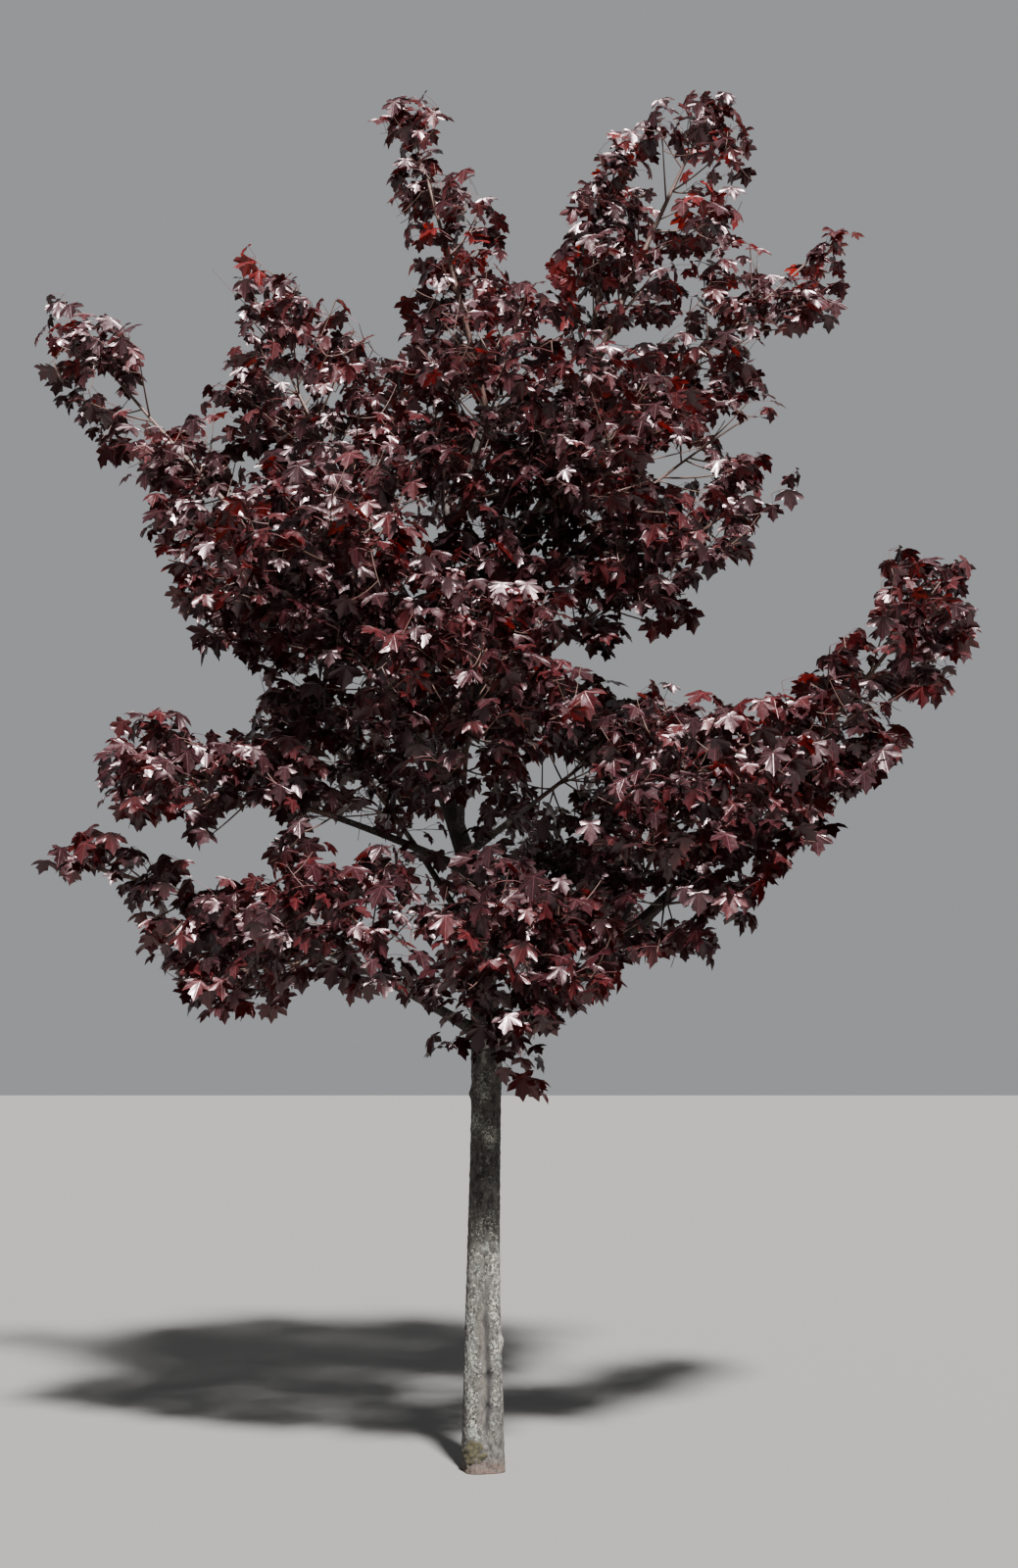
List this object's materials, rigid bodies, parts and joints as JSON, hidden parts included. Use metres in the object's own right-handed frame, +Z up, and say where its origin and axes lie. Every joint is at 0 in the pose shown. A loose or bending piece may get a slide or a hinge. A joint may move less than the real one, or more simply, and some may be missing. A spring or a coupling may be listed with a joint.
{
  "type": "purple-leaved norway maple tree",
  "caption": "Young purple-leaved Norway maple, with one slim flared trunk, rising boughs and an open crown of lobed leaves in layers",
  "frame": {"origin": "middle of the trunk's flat cut, at the level of the ground", "axes": "+Z up along the trunk, +X to the right and +Y away from the viewer as in the picture"},
  "size_m": [3.8225, 2.4282, 5.5286],
  "materials": {
    "bark": "rough grey-brown bark with pale lichen",
    "branch_bark": "smooth dark brown bark",
    "foliage": "dark wine-purple leaves with a soft gloss"
  },
  "bodies": {
    "root": {"trunk": "bark", "bough_top_right": "branch_bark", "bough_top_inner": "branch_bark", "bough_right_shoot": "branch_bark", "bough_right_upper": "branch_bark", "bough_right_middle": "branch_bark", "bough_upper_left": "branch_bark", "bough_far_left": "branch_bark", "bough_left_middle": "branch_bark", "bough_left_inner": "branch_bark", "bough_left_shelf": "branch_bark", "bough_low_left": "branch_bark", "bough_low_left_under": "branch_bark", "bough_low_left_front": "branch_bark", "bough_front_low": "branch_bark", "bough_low_right": "branch_bark", "bough_low_right_near": "branch_bark", "bough_low_right_under": "branch_bark", "bough_low_right_outer": "branch_bark", "bough_front_middle": "branch_bark", "bough_front_upper": "branch_bark", "bough_front_right": "branch_bark", "bough_back_right_top": "branch_bark", "bough_back_top": "branch_bark", "bough_back_left": "branch_bark", "bough_back_middle": "branch_bark", "bough_back_right": "branch_bark", "bough_back_low_left": "branch_bark", "bough_back_low_right": "branch_bark", "bough_front_inner": "branch_bark", "foliage_leader": "foliage", "foliage_top_right": "foliage", "foliage_top_inner": "foliage", "foliage_right_shoot": "foliage", "foliage_right_upper": "foliage", "foliage_right_middle": "foliage", "foliage_upper_left": "foliage", "foliage_far_left": "foliage", "foliage_left_middle": "foliage", "foliage_left_inner": "foliage", "foliage_left_shelf": "foliage", "foliage_low_left": "foliage", "foliage_low_left_under": "foliage", "foliage_low_left_front": "foliage", "foliage_front_low": "foliage", "foliage_low_right": "foliage", "foliage_low_right_near": "foliage", "foliage_low_right_under": "foliage", "foliage_low_right_outer": "foliage", "foliage_front_middle": "foliage", "foliage_front_upper": "foliage", "foliage_front_right": "foliage", "foliage_back_right_top": "foliage", "foliage_back_top": "foliage", "foliage_back_left": "foliage", "foliage_back_middle": "foliage", "foliage_back_right": "foliage", "foliage_back_low_left": "foliage", "foliage_back_low_right": "foliage", "foliage_front_inner": "foliage"}
  },
  "joints": []
}
